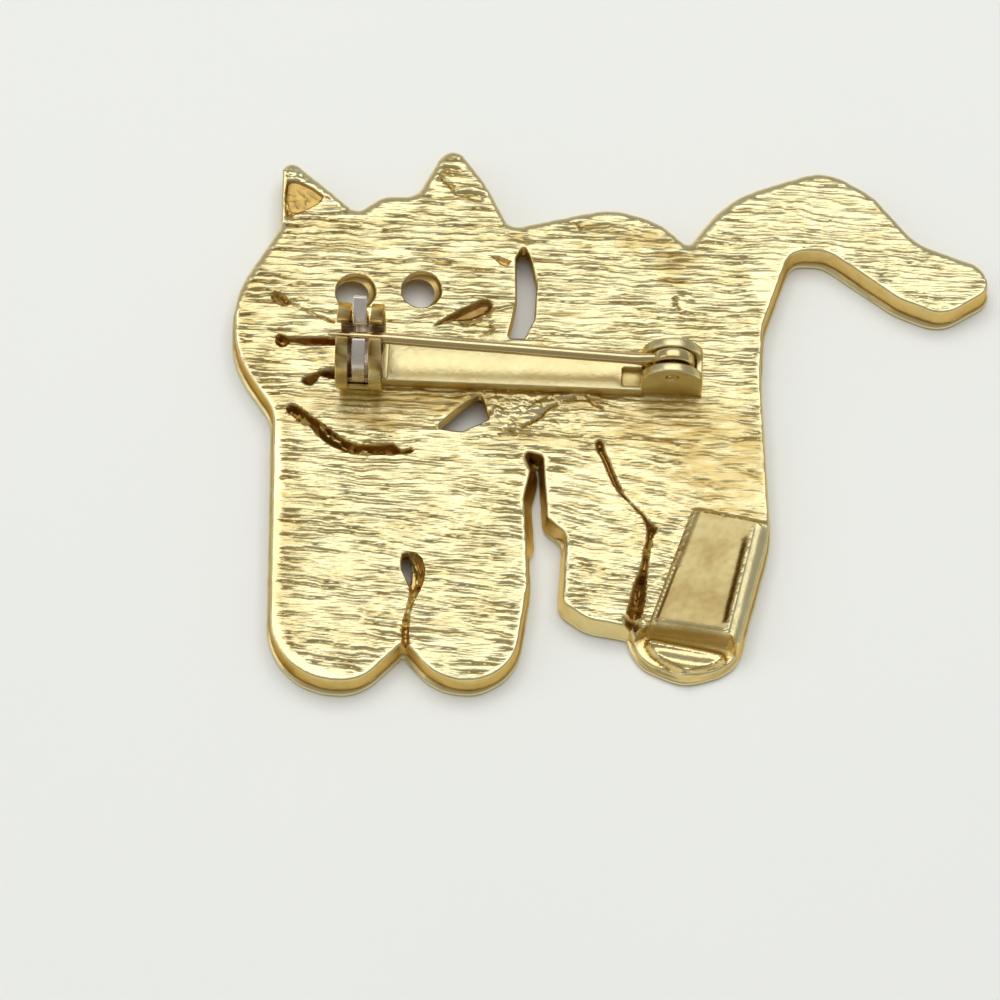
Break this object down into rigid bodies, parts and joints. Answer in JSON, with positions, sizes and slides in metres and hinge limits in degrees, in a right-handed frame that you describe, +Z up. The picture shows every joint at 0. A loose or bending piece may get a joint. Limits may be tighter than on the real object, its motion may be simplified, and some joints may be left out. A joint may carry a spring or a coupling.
{
  "type": "brooch",
  "caption": "Cast cat brooch lying on its front, with a bar pin on its back: a hinged pin stem and a rolling safety catch hold it to cloth.",
  "frame": {"origin": "centre of the bounding box in plan, on the surface the brooch lies on", "axes": "+Z up out of the back, +X along the cat from its head to its tail, +Y from its paws to its ears"},
  "size_m": [0.0542, 0.0418, 0.0098],
  "materials": {
    "cast_metal": "gold-tone plated, glossy, drawn texture on the back",
    "pin_metal": "pale gold-tone plated, smooth",
    "rivet_metal": "gold-tone plated, smooth",
    "sleeve_metal": "pale nickel-tone plated, smooth"
  },
  "bodies": {
    "brooch": {"cat_casting": "cast_metal", "hinge_rivet": "rivet_metal"},
    "stem": {"pin_stem": "pin_metal"},
    "sleeve": {"catch_sleeve": "sleeve_metal"}
  },
  "joints": [
    {"name": "stem_swing", "type": "hinge", "parent": "brooch", "child": "stem", "pos_m": [0.00405, 0.00217, 0.005], "axis": [0.0454, 0.999, 0], "range_deg": [0, 65]},
    {"name": "sleeve_roll", "type": "hinge", "parent": "brooch", "child": "sleeve", "pos_m": [-0.01762, 0.00316, 0.0054], "axis": [0.999, -0.0454, 0], "range_deg": [0, 70]}
  ]
}
